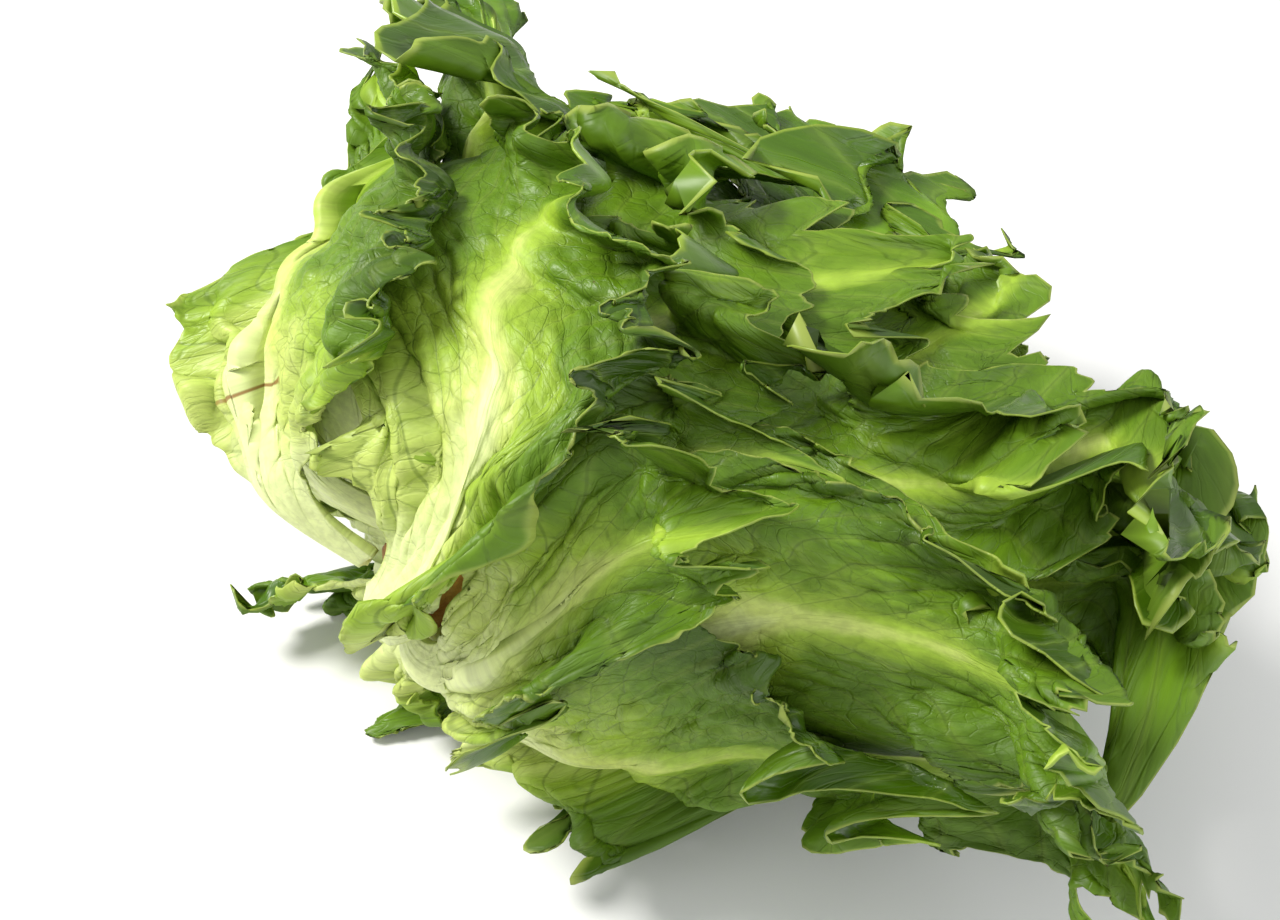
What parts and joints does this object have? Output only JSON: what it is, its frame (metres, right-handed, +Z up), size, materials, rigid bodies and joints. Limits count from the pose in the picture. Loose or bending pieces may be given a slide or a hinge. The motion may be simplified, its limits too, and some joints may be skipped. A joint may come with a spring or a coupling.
{
  "type": "head of lettuce",
  "caption": "Green leaf lettuce lying on its side: pale ribbed leaves with ruffled margins nested round a short stem that ends in a flat cut.",
  "frame": {"origin": "centre of the head's bounding box, on the surface it rests on", "axes": "+Z up, +X along the stem from the cut end towards the leaf tips, +Y across the head"},
  "size_m": [0.2676, 0.3904, 0.1628],
  "materials": {
    "stem_flesh": "matte",
    "outer_leaf": "satin",
    "inner_leaf": "satin"
  },
  "bodies": {
    "root": {"stem": "stem_flesh", "inner_01": "inner_leaf", "inner_02": "inner_leaf", "inner_03": "inner_leaf", "inner_04": "inner_leaf", "inner_05": "inner_leaf", "inner_06": "inner_leaf", "inner_07": "inner_leaf", "inner_08": "inner_leaf", "inner_09": "inner_leaf", "inner_10": "inner_leaf", "inner_11": "inner_leaf", "inner_12": "inner_leaf", "inner_13": "inner_leaf", "inner_14": "inner_leaf", "inner_15": "inner_leaf", "inner_16": "inner_leaf", "inner_17": "inner_leaf", "inner_18": "inner_leaf", "inner_19": "inner_leaf", "inner_20": "inner_leaf", "inner_21": "inner_leaf", "inner_22": "inner_leaf", "inner_23": "inner_leaf", "inner_24": "inner_leaf", "inner_25": "inner_leaf", "inner_26": "inner_leaf", "inner_27": "inner_leaf", "inner_28": "inner_leaf", "inner_29": "inner_leaf", "inner_30": "inner_leaf", "inner_31": "inner_leaf", "inner_32": "inner_leaf", "inner_33": "inner_leaf", "inner_34": "inner_leaf", "inner_35": "inner_leaf", "inner_36": "inner_leaf", "inner_37": "inner_leaf", "inner_38": "inner_leaf", "outer_01": "outer_leaf", "outer_02": "outer_leaf", "outer_03": "outer_leaf", "outer_04": "outer_leaf", "outer_05": "outer_leaf", "outer_06": "outer_leaf", "outer_07": "outer_leaf", "outer_08": "outer_leaf", "outer_09": "outer_leaf", "outer_10": "outer_leaf", "outer_11": "outer_leaf", "outer_12": "outer_leaf"}
  },
  "joints": []
}
